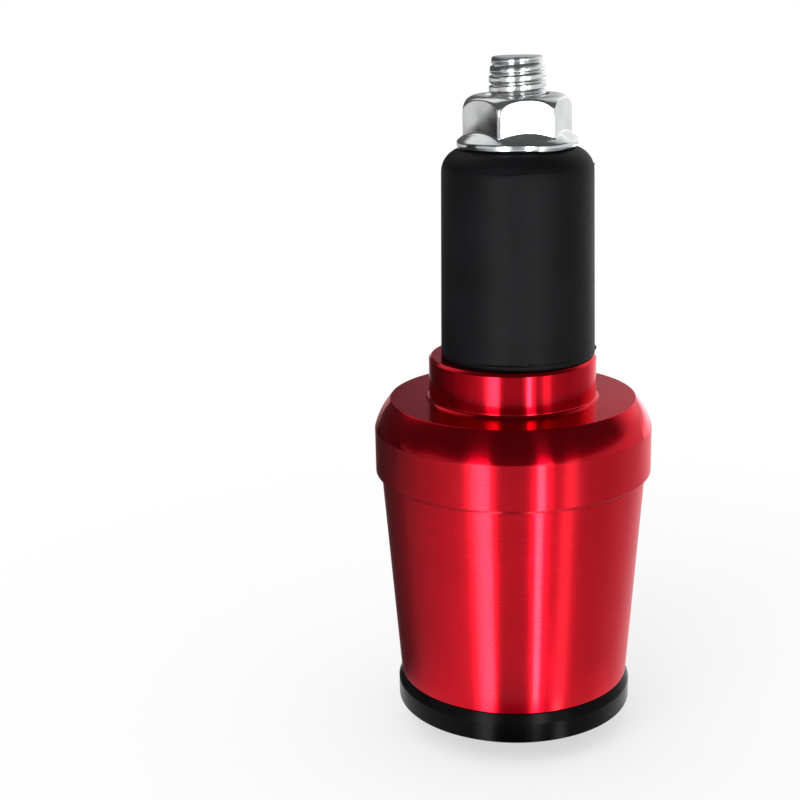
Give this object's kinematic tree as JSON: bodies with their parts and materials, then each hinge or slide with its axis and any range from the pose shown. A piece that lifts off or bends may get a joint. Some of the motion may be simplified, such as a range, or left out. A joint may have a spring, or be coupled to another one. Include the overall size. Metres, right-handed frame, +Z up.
{
  "type": "bar end weight",
  "caption": "Turned bar end weight with a domed end cap and an expanding rubber plug, drawn tight by a socket screw and a flange nut.",
  "frame": {"origin": "on the weight's axis, at the level of the end cap's counterbore rim, which the part stands on", "axes": "+Z up along the weight's axis, from the end cap towards the plug that goes into the handlebar"},
  "size_m": [0.03, 0.03, 0.0738],
  "materials": {
    "red_aluminium": "turned and anodised red",
    "black_plastic": "satin",
    "zinc_steel": "bright zinc plated",
    "rubber": "matt moulded"
  },
  "bodies": {
    "weight": {"weight": "red_aluminium", "end_cap": "black_plastic", "expander_bush": "rubber"},
    "screw": {"clamp_screw": "zinc_steel"},
    "nut": {"flange_nut": "zinc_steel"}
  },
  "joints": [
    {"name": "screw_turn", "type": "hinge", "parent": "weight", "child": "screw", "pos_m": [0.0006, 0, 0.0068], "axis": [0, 0, 1], "range_deg": [0, 1440]},
    {"name": "nut_draw", "type": "slide", "parent": "weight", "child": "nut", "axis": [0, 0, -1], "range_m": [0, 0.004], "deforming": ["expander_bush"]}
  ],
  "couplings": [
    {"joint": "nut_draw", "follows": "screw_turn", "m_per_rad": 0.00015915}
  ]
}
